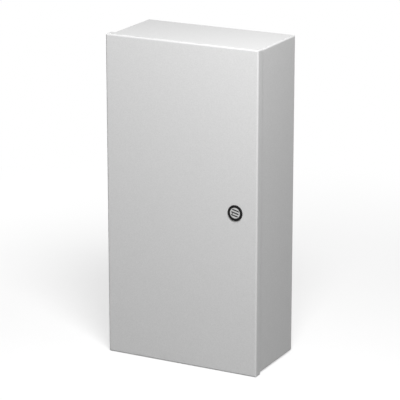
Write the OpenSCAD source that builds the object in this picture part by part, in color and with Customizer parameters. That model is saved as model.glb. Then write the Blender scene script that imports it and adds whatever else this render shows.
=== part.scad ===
// Wall-mounted sheet-steel electrical enclosure with a hinged wrap-round door and a quarter-turn latch.
// X runs to the viewer's right, Y runs into the wall and Z runs up.
// The origin is on the outside of the back, at the middle of the four wall holes.

/* [Body] */
// Outside width of the body, side to side
body_w = 304.8; // [290:0.1:330]
// Outside height of the body
body_h = 609.6; // [600:0.1:640]
// Depth of the body, from the wall to the front of its lip
body_d = 152.4; // [140:0.1:180]
// Thickness of the steel sheet of the body and the door
sheet_t = 1.5; // [1.2:0.1:1.8]
// Outside radius of the folded edges
bend_r = 3; // [2.5:0.1:3.5]
// Width of the lip round the front opening, from the outside of the body
lip_w = 16; // [15:0.1:18]
// Radius of the corners of the front opening
lip_corner_r = 5; // [3:0.1:8]

/* [Wall holes] */
// Diameter of the four holes for the wall bolts
wall_hole_d = 8; // [6:0.1:10]
// Distance from a wall hole to the outside of the body, sideways and up
wall_hole_inset = 25.4; // [23:0.1:28]

/* [Door] */
// Depth of the door's edge flanges, from its front face
door_flange = 17; // [14:0.1:18]
// Gap between the door's flanges and the sides of the body
door_gap = 1; // [0.7:0.1:1.3]
// Thickness of the closed gasket between the door and the lip
gasket_t = 5; // [4.5:0.1:6]
// Width of the gasket
gasket_w = 9; // [6:0.1:10]
// Distance from the gasket's outer edge to the outside of the body
gasket_inset = 4; // [3.6:0.1:5]
// Outside radius of the gasket's corners
gasket_corner_r = 14; // [12:0.1:18]

/* [Hinge] */
// Radius of the hinge pin
pin_r = 1.5; // [1.2:0.1:1.6]
// Running clearance of the pin in the knuckles, on the radius
pin_clear = 0.05; // [0.03:0.01:0.08]
// Thickness of the hinge leaves and of the rolled knuckles
leaf_t = 1.2; // [1:0.1:1.4]
// Length of one knuckle with its share of the end gap
knuckle_pitch = 25.4; // [22:0.1:26]
// Number of door knuckles, with one more on the body
door_knuckles = 11; // [8:1:11]
// End gap between two neighbouring knuckles
knuckle_gap = 0.4; // [0.3:0.1:0.8]
// Clearance between the knuckles and the sheets beside them
knuckle_clear = 0.5; // [0.4:0.1:0.8]
// Width of the leaf on the body, behind its knuckles
body_leaf_w = 18; // [14:0.1:22]
// Distance from the leaf on the door to the door's front bend
door_leaf_margin = 1; // [0.5:0.1:2]
// Height of the head on the pin's upper end
pin_head_h = 1.6; // [1.2:0.1:2]
// Slit where the rolled end of a knuckle meets its leaf
roll_gap = 0.4; // [0.2:0.1:0.5]
// How far the pin's head stands past the pin, on the radius
pin_head_rim = 1; // [0.6:0.1:1.2]

/* [Latch] */
// Distance from the latch's axis to the edge of the door
latch_inset = 44; // [42:0.1:46]
// Height of the latch's axis above the middle of the door
latch_rise = 3; // [0:0.1:20]
// Outside diameter of the black housing's flange
housing_d = 29.6; // [28.4:0.1:32]
// Height of the housing's flange
housing_h = 1.5; // [1.2:0.1:3]
// Radius of the flange's front edge
housing_edge_r = 0.7; // [0.4:0.1:1]
// Diameter of the housing's barrel
barrel_d = 23; // [22.6:0.1:24]
// Width of the barrel across its two flats
barrel_flats = 21.8; // [21.4:0.1:22.4]
// Clearance of the barrel in the door's hole, on the radius
barrel_clear = 0.25; // [0.1:0.05:0.4]
// Thickness of the sealing washer under the flange
seal_t = 0.4; // [0.3:0.1:1]
// Outside diameter of the sealing washer
seal_d = 27.4; // [26:0.1:28]
// Diameter of the insert's round face
face_d = 20; // [19:0.1:20.2]
// Gap between the face and the housing, on the radius
face_gap = 0.3; // [0.2:0.05:0.4]
// How far the face lies below the flange's front
face_drop = 0.4; // [0.1:0.1:0.6]
// Thickness of the face's disc
face_t = 2.4; // [2.1:0.1:2.8]
// Width of the plain rim round the face
rim_w = 1.4; // [1:0.1:2]
// Depth of the two grooves beside the bar
groove_depth = 1.4; // [0.8:0.1:1.8]
// Width of the two grooves beside the bar
groove_width = 2.3; // [1.6:0.1:3]
// Width of the bar across the face
bar_w = 8; // [7:0.1:10]
// Width of the screwdriver slot in the bar
slot_w = 2.4; // [1.6:0.1:3]
// Length of the screwdriver slot
slot_l = 15; // [12:0.1:16]
// Depth of the screwdriver slot
slot_depth = 1.6; // [1.2:0.1:1.8]
// Diameter of the round mark in the bar
mark_d = 2; // [1.4:0.1:2.4]
// Depth of the round mark
mark_depth = 0.8; // [0.4:0.1:1.2]
// Distance from the mark to the latch's axis, along the slot
mark_from = 4.6; // [3:0.1:6]
// Diameter of the insert's shaft
shaft_d = 13; // [12.4:0.1:13.4]
// Running clearance of the shaft in the housing, on the radius
shaft_clear = 0.05; // [0.03:0.01:0.08]
// Clearance of the insert along its axis
axial_clear = 0.15; // [0.1:0.05:0.3]
// Thickness of the insert's O-ring
o_ring_t = 1.7; // [1.4:0.1:1.8]
// Side of the square end that drives the cam
square_w = 8; // [7.4:0.1:8.4]
// Clearance of the cam on the square
square_clear = 0.05; // [0.03:0.01:0.1]
// Width of the hexagonal latch nut across its flats
latch_nut_af = 30; // [28:0.1:32]
// Thickness of the latch nut
latch_nut_t = 4.5; // [4:0.1:4.8]
// How far the latch is turned clockwise from its open stop
turn_deg = 14; // [0:1:20]

/* [Cam] */
// Distance from the latch's axis to the cam's tip
cam_reach = 35; // [33:0.1:37]
// Width of the cam
cam_w = 16; // [15:0.1:16.4]
// Thickness of the cam
cam_t = 2.5; // [2:0.1:3]
// Radius of the corners at the cam's tip
cam_tip_r = 4; // [2:0.1:6]
// Clearance between the latched cam and the back of the lip
cam_clear = 1.5; // [1.2:0.1:2]
// Clearance between the cam and its stops and the housing's end
stop_clear = 0.25; // [0.2:0.05:0.35]
// Length of the two stops, measured along the cam's edge
stop_l = 4.5; // [3:0.1:5]
// Distance from the stops to the latch's cross axes
stop_from = 1; // [0.5:0.1:1.5]
// Diameter of the cam screw
cam_screw_d = 5; // [4.6:0.1:5.2]
// Depth of the tapped hole in the insert
cam_screw_l = 9; // [7:0.1:10]
// Width of the cam screw's head across its flats
cam_screw_af = 8; // [7.6:0.1:9]
// Height of the cam screw's head
cam_screw_head = 3.5; // [3:0.1:4]
// Outside diameter of the cam washer
cam_washer_d = 15; // [13:0.1:16]
// Thickness of the cam washer
cam_washer_t = 1.2; // [1:0.1:1.6]

/* [Mounting panel] */
// Distance from the panel's edge to the outside of the body
panel_inset = 38.1; // [36:0.1:42]
// Thickness of the panel
panel_t = 1.9; // [1.5:0.1:2.5]
// Radius of the panel's corners
panel_corner_r = 4; // [2:0.1:8]
// Distance from a panel hole to the panel's edges
panel_hole_inset = 10; // [9:0.1:14]
// Diameter of the collar that carries the panel
collar_d = 16; // [14:0.1:18]
// Height of the collar above the back
collar_h = 12.7; // [10:0.1:16]
// Diameter of the panel studs
stud_d = 8; // [7:0.1:8.6]
// Length of the stud in front of its collar
stud_l = 18; // [14:0.1:22]
// Clearance of the studs in the panel's holes, on the radius
panel_hole_clear = 0.6; // [0.3:0.1:1]
// Width of the panel nuts across their flats
nut_af = 13; // [12.4:0.1:14]
// Height of the panel nuts
nut_h = 6.5; // [5:0.1:8]
// Outside diameter of the panel washers
washer_d = 17; // [16:0.1:18]
// Thickness of the panel washers
washer_t = 1.6; // [1.2:0.1:2]

/* [Earth studs] */
// Diameter of the earth stud and the bonding stud
earth_d = 6; // [5:0.1:6.4]
// Length of the earth stud and the bonding stud
earth_l = 15; // [13:0.1:18]
// Diameter of the weld base of an earth stud
earth_base_d = 9; // [8:0.1:10]
// Height of the weld base of an earth stud
earth_base_h = 1.5; // [1:0.1:2]
// Width of the earth nuts across their flats
earth_nut_af = 10; // [9.6:0.1:11]
// Height of the earth nuts
earth_nut_h = 5; // [4:0.1:6]
// Outside diameter of the earth washers
earth_washer_d = 13; // [12:0.1:14]
// Thickness of the earth washers
earth_washer_t = 1.2; // [1:0.1:1.6]
// Distance from the earth stud on the back to the inside of the body's right wall
earth_inset = 18; // [16:0.1:20]
// Height of the earth stud and the bonding stud above the wall holes at the bottom
earth_rise = 50; // [40:0.1:80]
// Distance from the bonding stud to the left edge of the door
bond_inset = 36; // [34:0.1:40]
// Clearance of a nut or a washer on its stud, on the radius
thread_clear = 0.1; // [0.05:0.05:0.2]

/* [Hidden] */
$fn = 64;
hex_sides = 6;
// How far a cutter runs past the face that it cuts
past = 1;

// Door planes
door_w = body_w + 2 * (door_gap + sheet_t);
door_h = body_h + 2 * (door_gap + sheet_t);
door_in_y = -(body_d + gasket_t);
door_front_y = door_in_y - sheet_t;
flange_tip_y = door_front_y + door_flange;

// Hinge
bore_r = pin_r + pin_clear;
knuckle_r = bore_r + leaf_t;
hinge_x = -(body_w / 2 + knuckle_r + knuckle_clear);
hinge_y = flange_tip_y + knuckle_r + knuckle_clear;
hinge_l = (2 * door_knuckles + 1) * knuckle_pitch;
knuckle_l = knuckle_pitch - knuckle_gap;
door_leaf_y = door_front_y + bend_r + door_leaf_margin;
leaf_reach = knuckle_r + knuckle_clear;

// Latch, measured along its axis
latch_x = door_w / 2 - latch_inset;
seal_front_y = door_front_y - seal_t;
housing_front_y = seal_front_y - housing_h;
face_front_y = housing_front_y + face_drop;
face_back_y = face_front_y + face_t;
well_y = face_back_y + axial_clear;
cam_front_y = -body_d + sheet_t + cam_clear;
cam_back_y = cam_front_y + cam_t;
barrel_end_y = cam_front_y - stop_clear;
stop_end_y = cam_back_y - stop_clear;
shaft_r = shaft_d / 2;
o_ring_y = (well_y + barrel_end_y) / 2;
o_ring_r = shaft_r - o_ring_t / 2;
o_groove_w = o_ring_t + 2 * axial_clear;
o_groove_r = shaft_r - o_ring_t - shaft_clear;
square_end_y = cam_back_y - square_clear;
screw_hole_y = cam_back_y - cam_screw_l;

// Mounting panel and studs
back_in_y = -sheet_t;
panel_back_y = back_in_y - collar_h;
panel_front_y = panel_back_y - panel_t;
panel_w = body_w - 2 * panel_inset;
panel_h = body_h - 2 * panel_inset;
stud_x = panel_w / 2 - panel_hole_inset;
stud_z = panel_h / 2 - panel_hole_inset;
wall_hole_x = body_w / 2 - wall_hole_inset;
wall_hole_z = body_h / 2 - wall_hole_inset;
earth_x = body_w / 2 - sheet_t - earth_inset;
earth_z = earth_rise - wall_hole_z;
bond_x = bond_inset - door_w / 2;

// Turns a piece that is drawn upwards so that it runs into the wall from the plane at y
module into_wall(y) {
  translate([0, y, 0])
    rotate([-90, 0, 0])
      children();
}

// Turns a piece that is drawn upwards so that it runs out towards the front from the plane at y
module to_front(y) {
  translate([0, y, 0])
    rotate([90, 0, 0])
      children();
}

// Moves a piece to the latch's axis
module at_latch() {
  translate([latch_x, 0, latch_rise])
    children();
}

// Repeats a piece at the four corners of a rectangle
module at_corners(x, z) {
  for (sx = [-1, 1])
    for (sz = [-1, 1])
      translate([sx * x, 0, sz * z])
        children();
}

// Rectangle about the origin with round corners
module round_rect(w, h, r) {
  square([w - 2 * r, h], center = true);
  square([w, h - 2 * r], center = true);
  for (sx = [-1, 1])
    for (sy = [-1, 1])
      translate([sx * (w / 2 - r), sy * (h / 2 - r)])
        circle(r = r);
}

// Rectangle from 0 to d upwards, with round corners at its lower edge only
module pan_section(w, d, r) {
  translate([0, (d + r) / 2])
    square([w, d - r], center = true);
  translate([0, d / 2])
    square([w - 2 * r, d], center = true);
  for (s = [-1, 1])
    translate([s * (w / 2 - r), r])
      circle(r = r);
}

// Box with all its edges round, from the plane at y back by d
module soft_box(w, h, d, r, y) {
  translate([0, y + d / 2, 0])
    intersection() {
      linear_extrude(h, center = true)
        round_rect(w, d, r);
      rotate([90, 0, 0])
        linear_extrude(d, center = true)
          round_rect(w, h, r);
      rotate([90, 0, 90])
        linear_extrude(w, center = true)
          round_rect(d, h, r);
    }
}

// Block with round front edges and round corners, from the plane at y back by d
module pan_block(w, h, d, r, y) {
  translate([0, y, 0])
    intersection() {
      linear_extrude(h, center = true)
        pan_section(w, d, r);
      rotate([-90, 0, 0])
        linear_extrude(d)
          round_rect(w, h, r);
      rotate([0, 90, 0])
        linear_extrude(w, center = true)
          pan_section(h, d, r);
    }
}

// Flat ring drawn upwards
module ring(outer_r, inner_r, h) {
  difference() {
    cylinder(r = outer_r, h = h);
    translate([0, 0, -past])
      cylinder(r = inner_r, h = h + 2 * past);
  }
}

// Hexagon nut drawn upwards
module hex_nut(af, inner_r, h) {
  difference() {
    cylinder(d = af / cos(180 / hex_sides), h = h, $fn = hex_sides);
    translate([0, 0, -past])
      cylinder(r = inner_r, h = h + 2 * past);
  }
}

// Round section with two flats
module double_d(d, flats) {
  intersection() {
    circle(d = d);
    square([flats, d + past], center = true);
  }
}

// Weld stud with a low base, drawn upwards
module weld_stud() {
  cylinder(d = earth_base_d, h = earth_base_h);
  cylinder(d = earth_d, h = earth_l);
}

// Body, folded from one sheet and welded at its corners
module body_shell() {
  color("gainsboro")
    difference() {
      soft_box(body_w, body_h, body_d, bend_r, -body_d);
      soft_box(
        body_w - 2 * sheet_t,
        body_h - 2 * sheet_t,
        body_d - 2 * sheet_t,
        bend_r - sheet_t,
        sheet_t - body_d
      );
      into_wall(-body_d - past)
        linear_extrude(sheet_t + 2 * past)
          round_rect(body_w - 2 * lip_w, body_h - 2 * lip_w, lip_corner_r);
      at_corners(wall_hole_x, wall_hole_z)
        into_wall(back_in_y - past)
          cylinder(d = wall_hole_d, h = sheet_t + 2 * past);
    }
}

// Flat panel that carries the equipment
module mounting_panel() {
  color("white")
    difference() {
      into_wall(panel_front_y)
        linear_extrude(panel_t)
          round_rect(panel_w, panel_h, panel_corner_r);
      at_corners(stud_x, stud_z)
        into_wall(panel_front_y - past)
          cylinder(r = stud_d / 2 + panel_hole_clear, h = panel_t + 2 * past);
    }
}

// Collar studs, welded to the back
module panel_studs() {
  color("silver")
    at_corners(stud_x, stud_z)
      to_front(back_in_y) {
        cylinder(d = collar_d, h = collar_h);
        cylinder(d = stud_d, h = collar_h + stud_l);
      }
}

// Washers in front of the panel
module panel_washers() {
  color("silver")
    at_corners(stud_x, stud_z)
      to_front(panel_front_y)
        ring(washer_d / 2, stud_d / 2 + thread_clear, washer_t);
}

// Nuts that hold the panel
module panel_nuts() {
  color("silver")
    at_corners(stud_x, stud_z)
      to_front(panel_front_y - washer_t)
        hex_nut(nut_af, stud_d / 2 + thread_clear, nut_h);
}

// Earth stud, welded to the back beside the panel
module earth_stud() {
  color("silver")
    translate([earth_x, 0, earth_z])
      to_front(back_in_y)
        weld_stud();
}

// Washer on the earth stud
module earth_washer() {
  color("silver")
    translate([earth_x, 0, earth_z])
      to_front(back_in_y - earth_base_h)
        ring(earth_washer_d / 2, earth_d / 2 + thread_clear, earth_washer_t);
}

// Nut on the earth stud
module earth_nut() {
  color("silver")
    translate([earth_x, 0, earth_z])
      to_front(back_in_y - earth_base_h - earth_washer_t)
        hex_nut(earth_nut_af, earth_d / 2 + thread_clear, earth_nut_h);
}

// One rolled knuckle about the hinge's axis, with its lower end at z
module knuckle(z) {
  translate([hinge_x, hinge_y, z])
    cylinder(r = knuckle_r, h = knuckle_l);
}

// Bore for the pin through all the knuckles
module pin_bore() {
  translate([hinge_x, hinge_y, -hinge_l / 2 - past])
    cylinder(r = bore_r, h = hinge_l + 2 * past);
}

// Cutter for the slit beside a rolled knuckle, from the plane at x outwards
module roll_slit(x, y, depth) {
  translate([x, y, -hinge_l / 2 - past])
    cube([roll_gap, depth, hinge_l + 2 * past]);
}

// Leaf welded to the left side of the body, with knuckles at both ends
module hinge_body_leaf() {
  color("gainsboro")
    difference() {
      union() {
        translate([-body_w / 2 - leaf_t, hinge_y + leaf_reach, -hinge_l / 2])
          cube([leaf_t, body_leaf_w, hinge_l]);
        for (i = [0 : door_knuckles]) {
          z = (2 * i) * knuckle_pitch - hinge_l / 2 + knuckle_gap / 2;
          knuckle(z);
          translate([-body_w / 2 - leaf_t, hinge_y, z])
            cube([leaf_t, leaf_reach + leaf_t, knuckle_l]);
        }
      }
      pin_bore();
      roll_slit(-body_w / 2 - leaf_t - roll_gap, hinge_y + leaf_t / 2, knuckle_r);
    }
}

// Pin with a head, pulled out upwards to take the door off
module hinge_pin() {
  color("silver")
    translate([hinge_x, hinge_y, -hinge_l / 2])
      union() {
        cylinder(r = pin_r, h = hinge_l - knuckle_gap / 2 + pin_head_h);
        translate([0, 0, hinge_l - knuckle_gap / 2])
          cylinder(r = pin_r + pin_head_rim, h = pin_head_h);
      }
}

// Door, folded from one sheet and welded at its corners
module door_panel() {
  color("gainsboro")
    difference() {
      pan_block(door_w, door_h, door_flange, bend_r, door_front_y);
      pan_block(
        door_w - 2 * sheet_t,
        door_h - 2 * sheet_t,
        door_flange + past,
        bend_r - sheet_t,
        door_in_y
      );
      at_latch()
        into_wall(door_front_y - past)
          linear_extrude(sheet_t + 2 * past)
            double_d(barrel_d + 2 * barrel_clear, barrel_flats + 2 * barrel_clear);
    }
}

// Foam gasket inside the door, closed against the lip
module door_gasket() {
  color("dimgray")
    into_wall(door_in_y)
      linear_extrude(gasket_t)
        difference() {
          round_rect(
            body_w - 2 * gasket_inset,
            body_h - 2 * gasket_inset,
            gasket_corner_r
          );
          round_rect(
            body_w - 2 * (gasket_inset + gasket_w),
            body_h - 2 * (gasket_inset + gasket_w),
            gasket_corner_r - gasket_w
          );
        }
}

// Leaf welded to the outside of the door's left flange
module hinge_door_leaf() {
  color("gainsboro")
    difference() {
      union() {
        translate([-door_w / 2 - leaf_t, door_leaf_y, -hinge_l / 2])
          cube([leaf_t, flange_tip_y - door_leaf_y, hinge_l]);
        for (i = [0 : door_knuckles - 1]) {
          z = (2 * i + 1) * knuckle_pitch - hinge_l / 2 + knuckle_gap / 2;
          knuckle(z);
          translate([-door_w / 2 - leaf_t, flange_tip_y - leaf_t, z])
            cube([leaf_t, leaf_t / 2 + leaf_reach - bore_r, knuckle_l]);
        }
      }
      pin_bore();
      roll_slit(-door_w / 2, hinge_y - knuckle_r - past, knuckle_r - leaf_t / 2 + past);
    }
}

// Black housing with a flange, a barrel with two flats and two stops for the cam
module latch_housing() {
  color("black")
    at_latch()
      difference() {
        union() {
          to_front(seal_front_y)
            rotate_extrude() {
              square([housing_d / 2 - housing_edge_r, housing_h]);
              square([housing_d / 2, housing_h - housing_edge_r]);
              translate([housing_d / 2 - housing_edge_r, housing_h - housing_edge_r])
                circle(r = housing_edge_r);
            }
          into_wall(seal_front_y)
            linear_extrude(barrel_end_y - seal_front_y)
              double_d(barrel_d, barrel_flats);
          cam_stops();
        }
        into_wall(housing_front_y - past)
          cylinder(r = face_d / 2 + face_gap, h = well_y - housing_front_y + past);
        into_wall(housing_front_y)
          cylinder(r = shaft_r + shaft_clear, h = body_d);
      }
}

// Stops that meet the cam's edge when it stands upright and when it points to the lip
module cam_stops() {
  edge = cam_w / 2 + stop_clear;
  stop_h = stop_end_y - barrel_end_y + past;
  into_wall(barrel_end_y - past)
    linear_extrude(stop_h)
      intersection() {
        double_d(barrel_d, barrel_flats);
        union() {
          translate([-edge - barrel_d, -stop_l - stop_from])
            square([barrel_d, stop_l]);
          translate([stop_from, edge])
            square([stop_l, barrel_d]);
        }
      }
}

// Rubber washer between the housing and the door
module latch_seal() {
  color("dimgray")
    at_latch()
      into_wall(seal_front_y)
        ring(seal_d / 2, barrel_d / 2 + barrel_clear, seal_t);
}

// Nut that holds the housing in the door
module latch_nut() {
  color("silver")
    at_latch()
      into_wall(door_in_y)
        hex_nut(latch_nut_af, barrel_d / 2 + thread_clear, latch_nut_t);
}

// Bonding stud, welded to the inside of the door
module bond_stud() {
  color("silver")
    translate([bond_x, 0, earth_z])
      into_wall(door_in_y)
        weld_stud();
}

// Washer on the bonding stud
module bond_washer() {
  color("silver")
    translate([bond_x, 0, earth_z])
      into_wall(door_in_y + earth_base_h)
        ring(earth_washer_d / 2, earth_d / 2 + thread_clear, earth_washer_t);
}

// Nut on the bonding stud
module bond_nut() {
  color("silver")
    translate([bond_x, 0, earth_z])
      into_wall(door_in_y + earth_base_h + earth_washer_t)
        hex_nut(earth_nut_af, earth_d / 2 + thread_clear, earth_nut_h);
}

// Turns the latch's own pieces about its axis, clockwise seen from the front
module turned() {
  at_latch()
    rotate([0, turn_deg, 0])
      children();
}

// The face of the insert, with a slot in a bar between two grooves, and a round mark
module insert_face() {
  difference() {
    into_wall(face_front_y)
      cylinder(d = face_d, h = face_t);
    into_wall(face_front_y - past)
      linear_extrude(groove_depth + past)
        intersection() {
          circle(r = face_d / 2 - rim_w);
          for (s = [-1, 1])
            translate([0, s * (bar_w + groove_width) / 2])
              square([face_d, groove_width], center = true);
        }
    into_wall(face_front_y - past)
      linear_extrude(slot_depth + past)
        square([slot_l, slot_w], center = true);
    into_wall(face_front_y - past)
      translate([-mark_from, (slot_w + bar_w) / 4, 0])
        cylinder(d = mark_d, h = mark_depth + past);
  }
}

// Insert that is turned with a screwdriver
module latch_insert() {
  color("silver")
    turned()
      difference() {
        union() {
          insert_face();
          into_wall(face_back_y)
            cylinder(r = shaft_r, h = cam_front_y - face_back_y);
          into_wall(cam_front_y - past)
            linear_extrude(square_end_y - cam_front_y + past)
              square(square_w, center = true);
        }
        into_wall(o_ring_y - o_groove_w / 2)
          ring(shaft_r + past, o_groove_r, o_groove_w);
        into_wall(screw_hole_y)
          cylinder(r = cam_screw_d / 2 + thread_clear, h = cam_screw_l + past);
      }
}

// O-ring in the groove of the insert's shaft
module latch_o_ring() {
  color("dimgray")
    turned()
      into_wall(o_ring_y)
        rotate_extrude()
          translate([o_ring_r, 0])
            circle(d = o_ring_t);
}

// Flat cam that turns behind the lip
module latch_cam() {
  color("silver")
    turned()
      into_wall(cam_front_y)
        linear_extrude(cam_t)
          difference() {
            union() {
              circle(d = cam_w);
              translate([-cam_w / 2, cam_tip_r - cam_reach])
                square([cam_w, cam_reach - cam_tip_r]);
              translate([cam_tip_r - cam_w / 2, -cam_reach])
                square([cam_w - 2 * cam_tip_r, cam_reach]);
              for (s = [-1, 1])
                translate([s * (cam_w / 2 - cam_tip_r), cam_tip_r - cam_reach])
                  circle(r = cam_tip_r);
            }
            square(square_w + 2 * square_clear, center = true);
          }
}

// Washer under the cam screw's head
module cam_washer() {
  color("silver")
    turned()
      into_wall(cam_back_y)
        ring(cam_washer_d / 2, cam_screw_d / 2 + thread_clear, cam_washer_t);
}

// Hexagon screw that holds the cam on the insert
module cam_screw() {
  color("silver")
    turned() {
      into_wall(screw_hole_y + thread_clear)
        cylinder(d = cam_screw_d, h = cam_screw_l + cam_washer_t);
      into_wall(cam_back_y + cam_washer_t)
        cylinder(d = cam_screw_af / cos(180 / hex_sides), h = cam_screw_head, $fn = hex_sides);
    }
}

body_shell();
mounting_panel();
panel_studs();
panel_washers();
panel_nuts();
earth_stud();
earth_washer();
earth_nut();
hinge_body_leaf();
hinge_pin();
door_panel();
door_gasket();
hinge_door_leaf();
latch_housing();
latch_seal();
latch_nut();
bond_stud();
bond_washer();
bond_nut();
latch_insert();
latch_o_ring();
latch_cam();
cam_washer();
cam_screw();
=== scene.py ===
import math

import bmesh
import bpy
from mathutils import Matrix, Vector


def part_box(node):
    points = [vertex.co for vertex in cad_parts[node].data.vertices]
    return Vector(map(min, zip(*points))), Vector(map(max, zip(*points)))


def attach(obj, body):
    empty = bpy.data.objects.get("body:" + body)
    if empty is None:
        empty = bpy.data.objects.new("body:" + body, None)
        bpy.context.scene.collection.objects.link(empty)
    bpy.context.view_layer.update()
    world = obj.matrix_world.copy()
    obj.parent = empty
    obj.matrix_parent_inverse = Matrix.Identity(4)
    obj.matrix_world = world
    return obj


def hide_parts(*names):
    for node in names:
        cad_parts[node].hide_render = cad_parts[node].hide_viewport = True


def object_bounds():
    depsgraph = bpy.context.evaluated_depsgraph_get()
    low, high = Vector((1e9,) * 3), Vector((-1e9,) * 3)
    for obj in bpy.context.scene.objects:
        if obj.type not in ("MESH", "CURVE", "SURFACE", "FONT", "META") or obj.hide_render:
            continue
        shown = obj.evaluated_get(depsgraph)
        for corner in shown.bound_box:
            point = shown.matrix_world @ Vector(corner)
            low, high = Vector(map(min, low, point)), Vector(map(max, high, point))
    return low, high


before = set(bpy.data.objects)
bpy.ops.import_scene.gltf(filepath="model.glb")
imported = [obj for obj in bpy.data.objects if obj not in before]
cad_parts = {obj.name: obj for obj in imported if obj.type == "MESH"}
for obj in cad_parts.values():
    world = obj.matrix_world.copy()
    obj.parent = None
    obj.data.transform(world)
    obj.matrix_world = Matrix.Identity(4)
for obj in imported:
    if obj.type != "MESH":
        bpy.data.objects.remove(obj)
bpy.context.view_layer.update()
scene = bpy.context.scene
MM = 0.001

# Tones, as display levels from 0 to 255
PAINT_TONE = (207, 207, 207)
PANEL_TONE = (230, 230, 227)
ZINC_TONE = (172, 175, 176)
STAINLESS_TONE = (168, 168, 166)
NICKEL_TONE = (190, 190, 190)
# Painted shade for the grooves of the latch insert
GROOVE_SHADE_TONE = (14, 14, 14)
PLASTIC_TONE = (9, 9, 10)
FOAM_TONE = (46, 46, 47)
RUBBER_TONE = (28, 28, 29)
FLOOR_TONE = (245, 245, 245)
FLOOR_RETURN_TONE = (142, 142, 142)

# White light, as a linear RGBA
WHITE = (1.0, 1.0, 1.0, 1.0)

# Ends of the range that noise mostly fills
NOISE_LOW, NOISE_HIGH = 0.3, 0.7

# Roughness of the paint on the body and the door, and on the mounting panel
SATIN = 0.62
PANEL_SATIN = 0.58

# Spot welds of the hinge leaves: their pitch, dimple, rim and distance from the leaf's edge
WELD_PITCH = 50.8 * MM
WELD_R = 1.2 * MM
WELD_RIM_R = 2.6 * MM
BODY_WELD_INSET = 8.0 * MM
DOOR_WELD_INSET = 6.0 * MM

# Latch: depths where the painted shade in its grooves starts and is full, its thread and its turn at rest
GROOVE_SHADE_FROM = 0.03 * MM
GROOVE_SHADE_TO = 0.25 * MM
HOUSING_PITCH = 1.5 * MM
LATCH_TURN = math.radians(-14.0)

# Fastener sizes, and the slack of a nut or washer on its thread
COLLAR_R = 8.0 * MM
STUD_R = 4.0 * MM
STUD_PITCH = 1.25 * MM
EARTH_R = 3.0 * MM
EARTH_PITCH = 1.0 * MM
BARREL_R = 11.5 * MM
CAM_SCREW_R = 2.5 * MM
CAM_SCREW_FLATS = 8.0 * MM
SLACK = 0.1 * MM

# Fastener edges
WASHER_BREAK = 0.2 * MM
BEVEL = 0.4 * MM
COUNTERSINK = 0.5 * MM
DISH_DEPTH = 0.35 * MM
# Radii of the dish in a screw's head, as shares of the distance across its flats
DISH_RIM, DISH_FLOOR = 0.36, 0.30
# Radius of a hexagon's flat end, as a share of its inner radius, and the slope of the chamfer round it
END_SHARE = 0.96
CHAMFER_SLOPE = math.tan(math.radians(28.0))

# Screw threads: depth as a share of the pitch, steepness of the flanks and width of the crest
THREAD_DEPTH = 0.55
THREAD_FLANK, THREAD_CREST = 1.35, 0.18
# Run-out between a stud's base and its thread, and rings to each turn
THREAD_RUN = 0.3 * MM
ROWS_A_TURN = 8

# Points round a hexagon, a washer and a stud, and the angle from which an edge is sharp
HEXAGON_STEPS, WASHER_STEPS, STUD_STEPS = 96, 64, 48
SHARP_ANGLE = math.radians(32.0)

# Sense of an axis along Y
FORWARD, BACKWARD = -1, 1

# Gasket: its section, its corners and half the gap of its butt joint
GASKET_W = 9.0 * MM
GASKET_CORNER_R = 14.0 * MM
GASKET_EDGE_R = 1.3 * MM
GASKET_BUTT = 0.2 * MM
CORNER_STEPS, EDGE_STEPS = 12, 5
# Rise of the crown, and as shares of the half width, its reach and the points along it
CROWN_RISE = 0.35 * MM
CROWN_REACH = 0.7
CROWN_POINTS = (-0.6, -0.3, 0.0, 0.3, 0.6)

# Floor: its size, and the share of white glow near the object and far from it, with those distances
FLOOR_R, FLOOR_SIDES = 30.0, 96
GLOW_SHARES = (0.62, 1.0)
GLOW_DISTANCES = (0.30, 1.30)

# Strength of the world where it lights the object
WORLD_FILL = 0.14

# Camera, with its lens and sensor in millimetres
EYE = (1.8087, -3.5597, 1.1554)
YAW, PITCH = math.radians(27.49), math.radians(16.53)
LENS, SENSOR = 197.96, 36.0


def linear(level):
    """A display level as scene-linear light, by the sRGB curve."""
    value = max(level, 0) / 255.0
    if value <= 0.04045:
        return value / 12.92
    return ((value + 0.055) / 1.055) ** 2.4


def colour(tone, change=0):
    """A tone, lighter by some levels, as a linear RGBA."""
    red, green, blue = (linear(level + change) for level in tone)
    return (red, green, blue, 1.0)


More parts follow.
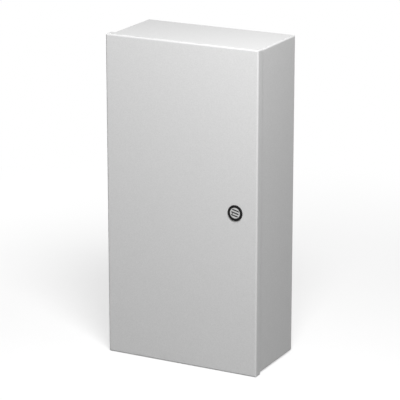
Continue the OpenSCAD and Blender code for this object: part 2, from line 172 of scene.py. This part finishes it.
class Shader:
    """A small builder for node materials with a Principled BSDF."""

    def __init__(self, name):
        self.material = bpy.data.materials.new(name)
        self.material.use_nodes = True
        self.tree = self.material.node_tree
        self.bsdf = self.tree.nodes["Principled BSDF"]
        self.point = self.node("ShaderNodeTexCoord").outputs["Object"]

    def node(self, kind, **settings):
        made = self.tree.nodes.new(kind)
        for key, value in settings.items():
            setattr(made, key, value)
        return made

    def link(self, output, socket):
        self.tree.links.new(output, socket)

    def axes(self):
        """The X, Y and Z of the point, in metres, in the shared frame."""
        made = self.node("ShaderNodeSeparateXYZ")
        self.link(self.point, made.inputs["Vector"])
        return made.outputs["X"], made.outputs["Y"], made.outputs["Z"]

    def calc(self, operation, *values):
        """A Math node on numbers and outputs."""
        made = self.node("ShaderNodeMath", operation=operation)
        for socket, value in zip(made.inputs, values):
            if isinstance(value, float):
                socket.default_value = value
            else:
                self.link(value, socket)
        return made.outputs["Value"]

    def noise(self, per_metre, detail=3.0, rough=0.5, stretch=None):
        """Noise with about so many features to the metre, scaled on each axis by stretch."""
        made = self.node("ShaderNodeTexNoise")
        made.inputs["Scale"].default_value = per_metre
        made.inputs["Detail"].default_value = detail
        made.inputs["Roughness"].default_value = rough
        source = self.point
        if stretch is not None:
            mapping = self.node("ShaderNodeMapping")
            mapping.inputs["Scale"].default_value = stretch
            self.link(self.point, mapping.inputs["Vector"])
            source = mapping.outputs["Vector"]
        self.link(source, made.inputs["Vector"])
        return made.outputs["Fac"]

    def mottle(self, noise, tone, below, above):
        """A tone that wanders with noise, from some levels darker to some levels lighter."""
        made = self.node("ShaderNodeValToRGB")
        dark, light = made.color_ramp.elements
        dark.position, dark.color = NOISE_LOW, colour(tone, -below)
        light.position, light.color = NOISE_HIGH, colour(tone, above)
        self.link(noise, made.inputs["Fac"])
        return made.outputs["Color"]

    def blend(self, share, first, second):
        """The first colour where share is 0 and the second where it is 1."""
        made = self.node("ShaderNodeMix", data_type="RGBA")
        self.link(share, made.inputs["Factor"])
        self.link(first, made.inputs["A"])
        self.link(second, made.inputs["B"])
        return made.outputs["Result"]

    def remap(self, value, to, over=(NOISE_LOW, NOISE_HIGH), smooth=False):
        """A value that goes between the two ends of to as the given one goes over its range."""
        made = self.node("ShaderNodeMapRange")
        if smooth:
            made.interpolation_type = "SMOOTHSTEP"
        for socket, end in zip(("From Min", "From Max", "To Min", "To Max"), (*over, *to)):
            made.inputs[socket].default_value = end
        self.link(value, made.inputs["Value"])
        return made.outputs["Result"]

    def bump(self, height, strength, distance, under=None):
        """A normal with this height laid over the normal under it."""
        made = self.node("ShaderNodeBump")
        made.inputs["Strength"].default_value = strength
        made.inputs["Distance"].default_value = distance
        self.link(height, made.inputs["Height"])
        if under is not None:
            self.link(under, made.inputs["Normal"])
        return made.outputs["Normal"]

    def soft_edges(self, radius):
        """A normal that rounds the edges off."""
        made = self.node("ShaderNodeBevel", samples=6)
        made.inputs["Radius"].default_value = radius
        return made.outputs["Normal"]

    def set_even(self, **values):
        """Sets what is the same all over the surface."""
        for key, value in values.items():
            self.bsdf.inputs[key.replace("_", " ")].default_value = value

    def feed(self, name, output):
        """Links an output to the surface's socket of this name."""
        self.link(output, self.bsdf.inputs[name])


# Materials
def weld_dimples(shader, welds_y):
    """0 in each spot weld of a row up the height at welds_y, and 1 clear of them."""
    _, y, z = shader.axes()
    across = shader.calc("SUBTRACT", y, welds_y)
    along = shader.calc("PINGPONG", z, WELD_PITCH / 2.0)
    squares = shader.calc("ADD", shader.calc("POWER", across, 2.0), shader.calc("POWER", along, 2.0))
    away = shader.calc("SQRT", squares)
    return shader.remap(away, to=(0.0, 1.0), over=(WELD_R, WELD_RIM_R), smooth=True)


def paint(name, tone, rough, welds_y=None):
    """Powder coat: a fine speckle, orange peel and an even satin gloss, over spot welds at welds_y."""
    shader = Shader(name)
    shader.feed("Base Color", shader.mottle(shader.noise(per_metre=620.0), tone, below=4, above=4))
    shader.feed("Roughness", shader.remap(shader.noise(per_metre=240.0), to=(rough - 0.03, rough + 0.04)))
    normal = shader.soft_edges(0.5 * MM)
    if welds_y is not None:
        dimples = weld_dimples(shader, welds_y)
        normal = shader.bump(dimples, strength=0.7, distance=0.5 * MM, under=normal)
    peel = shader.noise(per_metre=850.0, detail=2.0)
    shader.feed("Normal", shader.bump(peel, strength=0.09, distance=0.35 * MM, under=normal))
    shader.set_even(Metallic=0.0, Specular_IOR_Level=0.05)
    return shader.material


def metal(name, tone, rough, grain_per_metre, stretch=None):
    """Plated or drawn metal with a fine grain and a slightly cloudy tone."""
    shader = Shader(name)
    cloud = shader.noise(per_metre=150.0, detail=4.0)
    shader.feed("Base Color", shader.mottle(cloud, tone, below=9, above=6))
    grain = shader.noise(grain_per_metre, rough=0.6, stretch=stretch)
    shader.feed("Roughness", shader.remap(grain, to=(rough - 0.06, rough + 0.08)))
    edges = shader.soft_edges(0.2 * MM)
    shader.feed("Normal", shader.bump(grain, strength=0.12, distance=0.2 * MM, under=edges))
    shader.set_even(Metallic=1.0)
    return shader.material


def plated_casting(name, tone, dark, front_y):
    """Bright plated casting whose sunk places, behind front_y, are darkened with a painted shade."""
    shader = Shader(name)
    _, y, _ = shader.axes()
    shade_range = (front_y + GROOVE_SHADE_FROM, front_y + GROOVE_SHADE_TO)
    sunk = shader.remap(y, to=(0.0, 1.0), over=shade_range, smooth=True)
    cloud = shader.noise(per_metre=420.0, detail=4.0, rough=0.6)
    bright = shader.mottle(cloud, tone, below=9, above=6)
    # Painted shade: the grooves darken with depth behind the face, standing in for the shade that falls in
    # them
    groove_shade = shader.mottle(shader.noise(per_metre=700.0), dark, below=8, above=8)
    shader.feed("Base Color", shader.blend(sunk, bright, groove_shade))
    shader.feed("Metallic", shader.remap(sunk, to=(1.0, 0.15), over=(0.0, 1.0)))
    grain = shader.noise(per_metre=900.0, rough=0.6)
    plating = shader.remap(grain, to=(0.16, 0.30))
    duller = shader.calc("MULTIPLY", sunk, 0.3)
    shader.feed("Roughness", shader.calc("ADD", plating, duller))
    edges = shader.soft_edges(0.3 * MM)
    shader.feed("Normal", shader.bump(grain, strength=0.10, distance=0.15 * MM, under=edges))
    return shader.material


def plastic(name, tone, rough, thread_from):
    """Moulded plastic with a fine spark-eroded grain, and a moulded thread behind thread_from."""
    shader = Shader(name)
    shader.feed("Base Color", shader.mottle(shader.noise(per_metre=260.0), tone, below=5, above=6))
    sheen = shader.noise(per_metre=700.0, detail=2.0)
    shader.feed("Roughness", shader.remap(sheen, to=(rough - 0.05, rough + 0.07)))
    _, y, _ = shader.axes()
    turns = shader.calc("SINE", shader.calc("MULTIPLY", y, 2.0 * math.pi / HOUSING_PITCH))
    thread_height = shader.calc("MULTIPLY", turns, shader.calc("GREATER_THAN", y, thread_from))
    edges = shader.soft_edges(0.3 * MM)
    threaded = shader.bump(thread_height, strength=0.8, distance=0.35 * MM, under=edges)
    erosion = shader.noise(per_metre=1600.0, detail=2.0)
    shader.feed("Normal", shader.bump(erosion, strength=0.12, distance=0.15 * MM, under=threaded))
    shader.set_even(Metallic=0.0, Specular_IOR_Level=0.15)
    return shader.material


def foam(name, tone, cells_per_metre):
    """Closed-cell foam or rubber with a pitted skin."""
    shader = Shader(name)
    cloud = shader.noise(0.4 * cells_per_metre, detail=5.0, rough=0.7)
    shader.feed("Base Color", shader.mottle(cloud, tone, below=10, above=12))
    shader.feed("Roughness", shader.remap(shader.noise(per_metre=200.0), to=(0.8, 0.95)))
    pits = shader.noise(cells_per_metre, rough=0.7)
    shader.feed("Normal", shader.bump(pits, strength=0.4, distance=0.5 * MM))
    shader.set_even(Specular_IOR_Level=0.25)
    return shader.material


def dress(material, *names):
    """Puts a material on these CAD nodes."""
    for name in names:
        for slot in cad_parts[name].material_slots:
            slot.material = material


body_welds_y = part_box("hinge_body_leaf")[1].y - BODY_WELD_INSET
door_welds_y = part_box("hinge_door_leaf")[0].y + DOOR_WELD_INSET
insert_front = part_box("latch_insert")[0].y
door_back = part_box("latch_nut")[0].y

body_paint = paint("body_paint", PAINT_TONE, SATIN)
body_leaf_paint = paint("body_leaf_paint", PAINT_TONE, SATIN, body_welds_y)
door_leaf_paint = paint("door_leaf_paint", PAINT_TONE, SATIN, door_welds_y)
panel_paint = paint("panel_paint", PANEL_TONE, PANEL_SATIN)
zinc = metal("zinc_plate", ZINC_TONE, rough=0.30, grain_per_metre=1200.0)
stainless = metal(
    "drawn_stainless", STAINLESS_TONE, rough=0.26, grain_per_metre=900.0, stretch=(1.0, 1.0, 0.04)
)
nickel = plated_casting("nickel_casting", NICKEL_TONE, GROOVE_SHADE_TONE, insert_front)
black = plastic("black_plastic", PLASTIC_TONE, rough=0.32, thread_from=door_back)
strip = foam("foam_strip", FOAM_TONE, cells_per_metre=900.0)
rubber = foam("seal_rubber", RUBBER_TONE, cells_per_metre=1500.0)

dress(body_paint, "body_shell", "door_panel")
dress(body_leaf_paint, "hinge_body_leaf")
dress(door_leaf_paint, "hinge_door_leaf")
dress(panel_paint, "mounting_panel")
dress(zinc, "latch_cam")
dress(stainless, "hinge_pin")
dress(nickel, "latch_insert")
dress(black, "latch_housing")
dress(rubber, "latch_seal", "latch_o_ring")


# Forms that take the place of CAD nodes
def form(name, parts, material, body, node):
    """One object from lofted rings of points, in place of a CAD node.

    A part is (rings, closed). A closed one joins its last ring to its first, and others are capped.
    """
    bm = bmesh.new()
    for rings, closed in parts:
        rows = [[bm.verts.new(point) for point in ring] for ring in rings]
        pairs = list(zip(rows, rows[1:]))
        if closed:
            pairs.append((rows[-1], rows[0]))
        else:
            bm.faces.new(rows[0])
            bm.faces.new(rows[-1])
        for lower, upper in pairs:
            for i in range(len(lower)):
                j = (i + 1) % len(lower)
                bm.faces.new((lower[i], lower[j], upper[j], upper[i]))
    bmesh.ops.recalc_face_normals(bm, faces=bm.faces)
    mesh = bpy.data.meshes.new(name)
    bm.to_mesh(mesh)
    bm.free()
    mesh.shade_smooth()
    mesh.set_sharp_from_angle(angle=SHARP_ANGLE)
    mesh.materials.append(material)
    made = bpy.data.objects.new(name, mesh)
    scene.collection.objects.link(made)
    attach(made, body)
    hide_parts(node)
    return made


def zinc_form(name, parts, body, node):
    """A fastener of zinc-plated steel."""
    form(name, parts, zinc, body, node)


def along_y(x, foot, z, sense):
    """A function that gives the point at a radius, angle and height on an axis that leaves foot along Y."""
    return lambda radius, angle, height: (
        x + radius * math.cos(angle), foot + sense * height, z + radius * math.sin(angle)
    )


def angles(count, turn=0.0):
    """Even angles round a circle, the first at turn."""
    return [turn + 2.0 * math.pi * i / count for i in range(count)]


def turned(at, profile, steps):
    """Rings for a profile of (radius, height) turned about its axis, with a point at each angle."""
    return [[at(radius, angle, height) for angle in steps] for radius, height in profile]


def washer(at, outer, inner, height):
    """A stamped washer with its edges broken."""
    low, high = WASHER_BREAK, height - WASHER_BREAK
    narrow, wide = inner + WASHER_BREAK, outer - WASHER_BREAK
    profile = [
        (inner, low), (narrow, 0.0), (wide, 0.0), (outer, low),
        (outer, high), (wide, height), (narrow, height), (inner, high),
    ]
    return turned(at, profile, angles(WASHER_STEPS)), True


def hexagon(flats, angle):
    """Distance from the middle of a hexagon to its edge, at an angle from one of its corners."""
    side = math.pi / 3.0
    return flats / 2.0 / math.cos(angle % side - side / 2.0)


def hexagon_rings(at, flats, height, turn, foot_chamfer):
    """Rings up a hexagon whose corners are chamfered at its upper end, and at its foot if asked."""
    steps = angles(HEXAGON_STEPS, turn)
    end_radius = END_SHARE * flats / 2.0
    edge = [hexagon(flats, angle - turn) for angle in steps]
    drops = [(radius - end_radius) * CHAMFER_SLOPE for radius in edge]
    points = list(zip(edge, steps, drops))
    low = [at(radius, angle, drop if foot_chamfer else 0.0) for radius, angle, drop in points]
    high = [at(radius, angle, height - drop) for radius, angle, drop in points]
    foot = turned(at, [(end_radius, 0.0)], steps) if foot_chamfer else []
    return foot + [low, high] + turned(at, [(end_radius, height)], steps)


def nut(at, flats, bore, height):
    """A hexagon nut, chamfered on both sides, with a countersunk bore."""
    wide = bore + COUNTERSINK
    inside = [(wide, height), (bore, height - COUNTERSINK), (bore, COUNTERSINK), (wide, 0.0)]
    outside = hexagon_rings(at, flats, height, turn=0.0, foot_chamfer=True)
    return outside + turned(at, inside, angles(HEXAGON_STEPS)), True


def thread(at, start, end, radius, pitch):
    """Rings of a screw thread from start to end, with a bevelled end."""
    depth = THREAD_DEPTH * pitch
    rows = round((end - start) / pitch * ROWS_A_TURN)
    rings = []
    for row in range(rows + 1):
        height = start + (end - start) * row / rows
        limit = radius - max(0.0, height - (end - depth))
        ring = []
        for angle in angles(STUD_STEPS):
            phase = (height / pitch - angle / (2.0 * math.pi)) % 1.0
            groove = abs(2.0 * phase - 1.0) * THREAD_FLANK - THREAD_CREST
            groove = min(max(groove, 0.0), 1.0)
            ring.append(at(min(limit, radius - depth * groove), angle, height))
        rings.append(ring)
    return rings


def stud(at, base_radius, base_height, radius, length, pitch):
    """A stud with a plain base and a threaded shank."""
    narrow = base_radius - BEVEL
    base = [
        (narrow, 0.0), (base_radius, BEVEL), (base_radius, base_height - BEVEL), (narrow, base_height),
        (radius - THREAD_DEPTH * pitch, base_height),
    ]
    shank = thread(at, base_height + THREAD_RUN, length, radius, pitch)
    return turned(at, base, angles(STUD_STEPS)) + shank, False


def screw(at, flats, head_height, radius, length, turn):
    """A hexagon screw: its shank from the tip, then its head with a dished end."""
    top = length + head_height
    shank = [(radius - BEVEL, 0.0), (radius, BEVEL), (radius, length)]
    dish = [(DISH_RIM * flats, top), (DISH_FLOOR * flats, top - DISH_DEPTH)]

    def on_shank(head_radius, angle, height):
        return at(head_radius, angle, length + height)

    steps = angles(HEXAGON_STEPS, turn)
    head = hexagon_rings(on_shank, flats, head_height, turn, foot_chamfer=False)
    return turned(at, shank, steps) + head + turned(at, dish, steps), False


def depth_of(box):
    """The length of a node's box along Y."""
    low, high = box
    return high.y - low.y


def middle_of(box):
    """The X and Z of the middle of a node's box."""
    low, high = box
    return (low.x + high.x) / 2.0, (low.z + high.z) / 2.0


def panel_fasteners():
    """The four collar studs that carry the mounting panel, with their washers and nuts."""
    studs, washers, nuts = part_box("panel_studs"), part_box("panel_washers"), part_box("panel_nuts")
    x, z = studs[1].x - COLLAR_R, studs[1].z - COLLAR_R
    collar_height = studs[1].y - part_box("mounting_panel")[1].y
    washer_radius = washers[1].x - x
    flats = 2.0 * (nuts[1].z - z)

    def corners(box):
        return [along_y(side * x, box[1].y, end * z, FORWARD) for side in (-1, 1) for end in (-1, 1)]

    zinc_form(
        "panel_studs_threaded",
        [stud(at, COLLAR_R, collar_height, STUD_R, depth_of(studs), STUD_PITCH) for at in corners(studs)],
        "body", "panel_studs",
    )
    zinc_form(
        "panel_washers_stamped",
        [washer(at, washer_radius, STUD_R + SLACK, depth_of(washers)) for at in corners(washers)],
        "body", "panel_washers",
    )
    zinc_form(
        "panel_nuts_chamfered",
        [nut(at, flats, STUD_R + SLACK, depth_of(nuts)) for at in corners(nuts)],
        "body", "panel_nuts",
    )


def earth_fasteners(kind, body, sense):
    """An earth stud on a body, with its washer and nut, pointing along Y in this sense."""
    stud_box, washer_box, nut_box = (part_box(kind + part) for part in ("_stud", "_washer", "_nut"))
    x, z = middle_of(stud_box)

    def foot(box):
        return box[1].y if sense == FORWARD else box[0].y

    def axis(box):
        return along_y(x, foot(box), z, sense)

    base_radius = stud_box[1].x - x
    base_height = abs(foot(washer_box) - foot(stud_box))
    flats = nut_box[1].z - nut_box[0].z
    zinc_form(
        kind + "_stud_threaded",
        [stud(axis(stud_box), base_radius, base_height, EARTH_R, depth_of(stud_box), EARTH_PITCH)],
        body, kind + "_stud",
    )
    zinc_form(
        kind + "_washer_stamped",
        [washer(axis(washer_box), washer_box[1].x - x, EARTH_R + SLACK, depth_of(washer_box))],
        body, kind + "_washer",
    )
    zinc_form(
        kind + "_nut_chamfered",
        [nut(axis(nut_box), flats, EARTH_R + SLACK, depth_of(nut_box))],
        body, kind + "_nut",
    )


def latch_fasteners():
    """The nut that holds the latch in the door, and the washer and screw that hold its cam."""
    nut_box, washer_box, screw_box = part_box("latch_nut"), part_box("cam_washer"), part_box("cam_screw")
    x, z = middle_of(nut_box)

    def axis(box):
        return along_y(x, box[0].y, z, BACKWARD)

    flats = nut_box[1].z - nut_box[0].z
    shank = washer_box[1].y - screw_box[0].y
    head = screw_box[1].y - washer_box[1].y
    zinc_form(
        "latch_nut_chamfered",
        [nut(axis(nut_box), flats, BARREL_R + SLACK, depth_of(nut_box))],
        "door", "latch_nut",
    )
    zinc_form(
        "cam_washer_stamped",
        [washer(axis(washer_box), washer_box[1].x - x, CAM_SCREW_R + SLACK, depth_of(washer_box))],
        "latch", "cam_washer",
    )
    zinc_form(
        "cam_screw_chamfered",
        [screw(axis(screw_box), CAM_SCREW_FLATS, head, CAM_SCREW_R, shank, LATCH_TURN)],
        "latch", "cam_screw",
    )


def gasket_path(x, z, radius):
    """The strip's middle line, from the bottom and round to it, as points with their outward directions."""
    down = (0.0, -1.0)
    path = [((GASKET_BUTT, -z), down)]
    for quarter, (side, end) in enumerate(((1, -1), (1, 1), (-1, 1), (-1, -1))):
        for step in range(CORNER_STEPS + 1):
            angle = math.pi / 2.0 * (quarter - 1 + step / CORNER_STEPS)
            out = (math.cos(angle), math.sin(angle))
            point = (side * (x - radius) + radius * out[0], end * (z - radius) + radius * out[1])
            path.append((point, out))
    path.append(((-GASKET_BUTT, -z), down))
    return path


def gasket_section(thick):
    """The strip's outline as (across, up), from its inner foot over the crown to its outer one."""
    half = GASKET_W / 2.0
    edge_across = half - GASKET_EDGE_R
    edge_up = thick - CROWN_RISE - GASKET_EDGE_R
    quarter = [math.pi / 2.0 * step / EDGE_STEPS for step in range(EDGE_STEPS + 1)]
    outer = [
        (edge_across + GASKET_EDGE_R * math.cos(angle), edge_up + GASKET_EDGE_R * math.sin(angle))
        for angle in quarter
    ]
    inner = [(-across, up) for across, up in outer]
    crown = [(share * half, thick - CROWN_RISE * (share / CROWN_REACH) ** 2) for share in CROWN_POINTS]
    return [(-half, 0.0), *inner, *crown, *reversed(outer), (half, 0.0)]


def gasket():
    """A crowned foam strip laid round the door, with its two ends butted together at the bottom."""
    low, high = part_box("door_gasket")
    half = GASKET_W / 2.0
    path = gasket_path(high.x - half, high.z - half, GASKET_CORNER_R - half)
    section = gasket_section(high.y - low.y)
    rings = [
        [(x + across * out[0], low.y + up, z + across * out[1]) for across, up in section]
        for (x, z), out in path
    ]
    made = form("door_gasket_strip", [(rings, False)], strip, "door", "door_gasket")


panel_fasteners()
earth_fasteners("earth", "body", FORWARD)
earth_fasteners("bond", "door", BACKWARD)
latch_fasteners()
gasket()


# Floor, world and lamps
def seen_rays(tree):
    """1 for a ray that shows a surface to the camera, straight or by metal or glass, and 0 for others."""
    rays = tree.nodes.new("ShaderNodeLightPath")
    seen = rays.outputs["Is Camera Ray"]
    for kind in ("Is Glossy Ray", "Is Transmission Ray"):
        either = tree.nodes.new("ShaderNodeMath")
        either.operation = "MAXIMUM"
        tree.links.new(seen, either.inputs[0])
        tree.links.new(rays.outputs[kind], either.inputs[1])
        seen = either.outputs["Value"]
    return seen


def floor_white():
    """White where it is seen, apart from the shadow, and a mid grey for the light that goes back up."""
    shader = Shader("floor_white")
    seen = seen_rays(shader.tree)
    cloud = shader.noise(per_metre=3.0, detail=2.0)
    dull = shader.mottle(cloud, FLOOR_RETURN_TONE, below=2, above=2)
    pale = shader.mottle(cloud, FLOOR_TONE, below=2, above=2)
    shader.feed("Base Color", shader.blend(seen, dull, pale))
    shader.set_even(Roughness=0.9, Specular_IOR_Level=0.1)
    away = shader.node("ShaderNodeVectorMath", operation="LENGTH")
    shader.link(shader.point, away.inputs[0])
    share = shader.remap(away.outputs["Value"], to=GLOW_SHARES, over=GLOW_DISTANCES, smooth=True)
    glow = shader.node("ShaderNodeEmission")
    glow.inputs["Color"].default_value = WHITE
    glow.inputs["Strength"].default_value = 1.0
    mix = shader.node("ShaderNodeMixShader")
    shader.link(shader.calc("MULTIPLY", seen, share), mix.inputs["Fac"])
    shader.link(shader.bsdf.outputs["BSDF"], mix.inputs[1])
    shader.link(glow.outputs["Emission"], mix.inputs[2])
    shader.link(mix.outputs["Shader"], shader.tree.nodes["Material Output"].inputs["Surface"])
    return shader.material


def lay_floor():
    """A round floor under the object."""
    low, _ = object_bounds()
    bpy.ops.mesh.primitive_circle_add(
        vertices=FLOOR_SIDES, radius=FLOOR_R, fill_type="NGON", location=(0.0, 0.0, low.z)
    )
    floor = bpy.context.object
    floor.name = "floor"
    floor.data.materials.append(floor_white())


def light_world():
    """White where the world is seen, and a soft even fill where it lights."""
    world = bpy.data.worlds.new("studio")
    scene.world = world
    world.use_nodes = True
    tree = world.node_tree
    background = tree.nodes["Background"]
    background.inputs["Color"].default_value = WHITE
    level = tree.nodes.new("ShaderNodeMapRange")
    level.inputs["To Min"].default_value = WORLD_FILL
    level.inputs["To Max"].default_value = 1.0
    tree.links.new(seen_rays(tree), level.inputs["Value"])
    tree.links.new(level.outputs["Result"], background.inputs["Strength"])


def put(name, data, place, direction):
    """A lamp or a camera at a place, looking in a direction."""
    made = bpy.data.objects.new(name, data)
    scene.collection.objects.link(made)
    made.location = place
    made.rotation_mode = "QUATERNION"
    made.rotation_quaternion = direction.to_track_quat("-Z", "Y")
    return made


def softbox(name, place, aim, size, power):
    """A round soft lamp."""
    lamp = bpy.data.lights.new(name, "AREA")
    lamp.shape = "DISK"
    lamp.size = size
    lamp.energy = power
    put(name, lamp, place, Vector(aim) - Vector(place))


lay_floor()
light_world()
softbox("key", place=(0.77, -1.15, 1.57), aim=(0.0, -0.10, 0.05), size=0.9, power=56.0)
softbox("back_fill", place=(-1.50, 1.20, -0.05), aim=(0.0, -0.08, 0.0), size=0.7, power=26.0)
softbox("left_fill", place=(-1.10, -1.30, -0.05), aim=(0.0, -0.15, -0.10), size=0.5, power=1.2)

# Camera at the photograph's viewing angle
camera = bpy.data.cameras.new("camera")
camera.lens = LENS
camera.sensor_width = SENSOR
camera.sensor_fit = "HORIZONTAL"
along = math.cos(PITCH)
towards = Vector((-math.sin(YAW) * along, math.cos(YAW) * along, -math.sin(PITCH)))
scene.camera = put("camera", camera, EYE, towards)

scene.view_settings.view_transform = "Standard"
